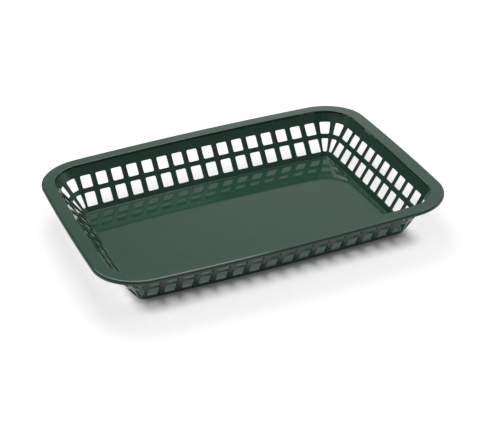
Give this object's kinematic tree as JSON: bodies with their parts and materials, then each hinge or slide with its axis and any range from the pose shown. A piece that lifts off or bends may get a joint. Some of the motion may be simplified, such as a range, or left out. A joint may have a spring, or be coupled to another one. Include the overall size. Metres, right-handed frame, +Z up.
{
  "type": "serving basket",
  "caption": "Shallow rectangular plastic serving basket with a flat rim, leaning walls of open lattice, rounded corners and a plain solid floor, for serving food on a paper liner.",
  "frame": {"origin": "under the middle of the floor, on the surface that the basket stands on", "axes": "+X along the longer side, +Y across to the back wall, +Z up out of the mouth"},
  "size_m": [0.324, 0.2434, 0.0396],
  "materials": {
    "green_plastic": "glossy injection-moulded polypropylene, forest green, coloured through"
  },
  "bodies": {
    "root": {"rim_lip": "green_plastic", "rim_flange": "green_plastic", "floor_panel": "green_plastic", "right_upper_band": "green_plastic", "right_lattice": "green_plastic", "right_curb": "green_plastic", "back_right_corner_upper_band": "green_plastic", "back_right_corner_lattice": "green_plastic", "back_right_corner_curb": "green_plastic", "back_upper_band": "green_plastic", "back_lattice": "green_plastic", "back_curb": "green_plastic", "back_left_corner_upper_band": "green_plastic", "back_left_corner_lattice": "green_plastic", "back_left_corner_curb": "green_plastic", "left_upper_band": "green_plastic", "left_lattice": "green_plastic", "left_curb": "green_plastic", "front_left_corner_upper_band": "green_plastic", "front_left_corner_lattice": "green_plastic", "front_left_corner_curb": "green_plastic", "front_upper_band": "green_plastic", "front_lattice": "green_plastic", "front_curb": "green_plastic", "front_right_corner_upper_band": "green_plastic", "front_right_corner_lattice": "green_plastic", "front_right_corner_curb": "green_plastic"}
  },
  "joints": []
}
